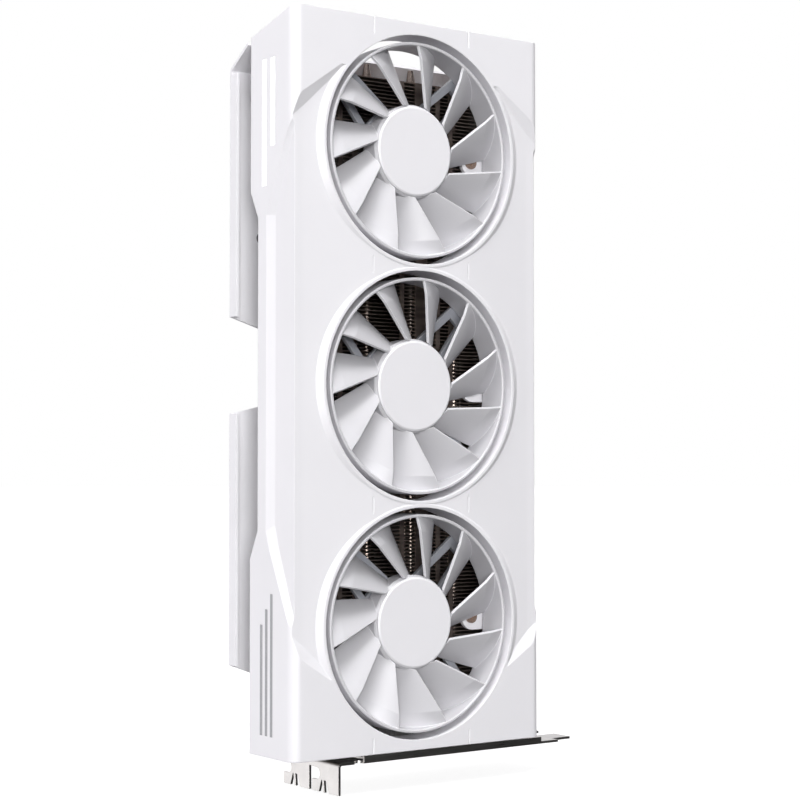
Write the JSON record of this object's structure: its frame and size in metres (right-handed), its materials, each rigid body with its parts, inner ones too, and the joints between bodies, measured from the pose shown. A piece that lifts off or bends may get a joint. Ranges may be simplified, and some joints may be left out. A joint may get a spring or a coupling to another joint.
{
  "type": "graphics card",
  "caption": "White computer graphics card with cooling fans in a moulded cover, a finned heat sink, a circuit board, a metal backplate and a slot bracket.",
  "frame": {"origin": "on the outer face of the slot bracket, between its vents and its display ports", "axes": "+Z along the card away from the bracket, +Y towards the backplate, +X towards the slot connector; the fans face -Y"},
  "size_m": [0.1445, 0.0462, 0.3003],
  "materials": {
    "cover_white": "fine satin moulded plastic",
    "light_bar": "frosted translucent plastic, lit from behind",
    "badge_grey": "flat grey print",
    "board_mask": "dark solder mask",
    "wheel_white": "satin moulded plastic",
    "cap_white": "satin moulded plastic",
    "frame_grey": "pale grey moulded plastic",
    "magnet_dark": "bonded ferrite",
    "core_steel": "laminated core",
    "bearing_brass": "sintered bronze",
    "shaft_steel": "ground steel",
    "screw_bronze": "dark bronze plated",
    "screw_steel": "zinc plated",
    "fin_metal": "warm grey aluminium",
    "pipe_nickel": "nickel plated",
    "plate_nickel": "nickel plated copper",
    "frame_black": "black coated aluminium",
    "contact_gold": "gold plated",
    "chip_black": "epoxy mould compound",
    "die_silicon": "polished silicon",
    "package_green": "green laminate",
    "pad_grey": "soft thermal pad",
    "coil_grey": "pressed ferrite",
    "socket_black": "nylon housing",
    "header_white": "nylon housing",
    "plate_white": "white powder coat",
    "bracket_steel": "nickel plated steel",
    "port_steel": "stamped shell"
  },
  "bodies": {
    "card": {"shroud": "cover_white", "side_light_diffuser": "light_bar", "side_light_board": "board_mask", "side_badge": "badge_grey", "fan_screws": "screw_steel", "fin_stack": "fin_metal", "fin_tabs": "fin_metal", "fin_spine": "fin_metal", "heat_pipes": "pipe_nickel", "cold_plate": "plate_nickel", "cooler_frame": "frame_black", "mount_posts": "plate_nickel", "ear_screws": "screw_bronze", "pcb": "board_mask", "edge_contacts": "contact_gold", "gpu_package": "package_green", "gpu_die": "die_silicon", "memory_chips": "chip_black", "thermal_pads": "pad_grey", "inductors": "coil_grey", "power_stages": "chip_black", "capacitors": "chip_black", "fan_headers": "header_white", "power_socket": "socket_black", "power_pins": "contact_gold", "retention_bracket": "bracket_steel", "retention_screws": "screw_steel", "backplate": "plate_white", "backplate_screws": "screw_steel", "backplate_standoffs": "bearing_brass", "io_bracket": "bracket_steel", "io_bracket_screws": "screw_steel", "dp_sockets": "port_steel", "hdmi_socket": "port_steel", "socket_tongues": "socket_black", "fan_frame_1": "frame_grey", "stator_1": "core_steel", "bearing_1": "bearing_brass", "fan_frame_2": "frame_grey", "stator_2": "core_steel", "bearing_2": "bearing_brass", "fan_frame_3": "frame_grey", "stator_3": "core_steel", "bearing_3": "bearing_brass"},
    "fan_1_wheel": {"rotor_1": "wheel_white", "hub_cap_1": "cap_white", "magnet_ring_1": "magnet_dark", "shaft_1": "shaft_steel"},
    "fan_2_wheel": {"rotor_2": "wheel_white", "hub_cap_2": "cap_white", "magnet_ring_2": "magnet_dark", "shaft_2": "shaft_steel"},
    "fan_3_wheel": {"rotor_3": "wheel_white", "hub_cap_3": "cap_white", "magnet_ring_3": "magnet_dark", "shaft_3": "shaft_steel"}
  },
  "joints": [
    {"name": "fan_1_spin", "type": "hinge", "parent": "card", "child": "fan_1_wheel", "pos_m": [0, -0.0235, 0.239], "axis": [0, -1, 0], "continuous": true},
    {"name": "fan_2_spin", "type": "hinge", "parent": "card", "child": "fan_2_wheel", "pos_m": [0, -0.0235, 0.146], "axis": [0, -1, 0], "continuous": true},
    {"name": "fan_3_spin", "type": "hinge", "parent": "card", "child": "fan_3_wheel", "pos_m": [0, -0.0235, 0.053], "axis": [0, -1, 0], "continuous": true}
  ]
}
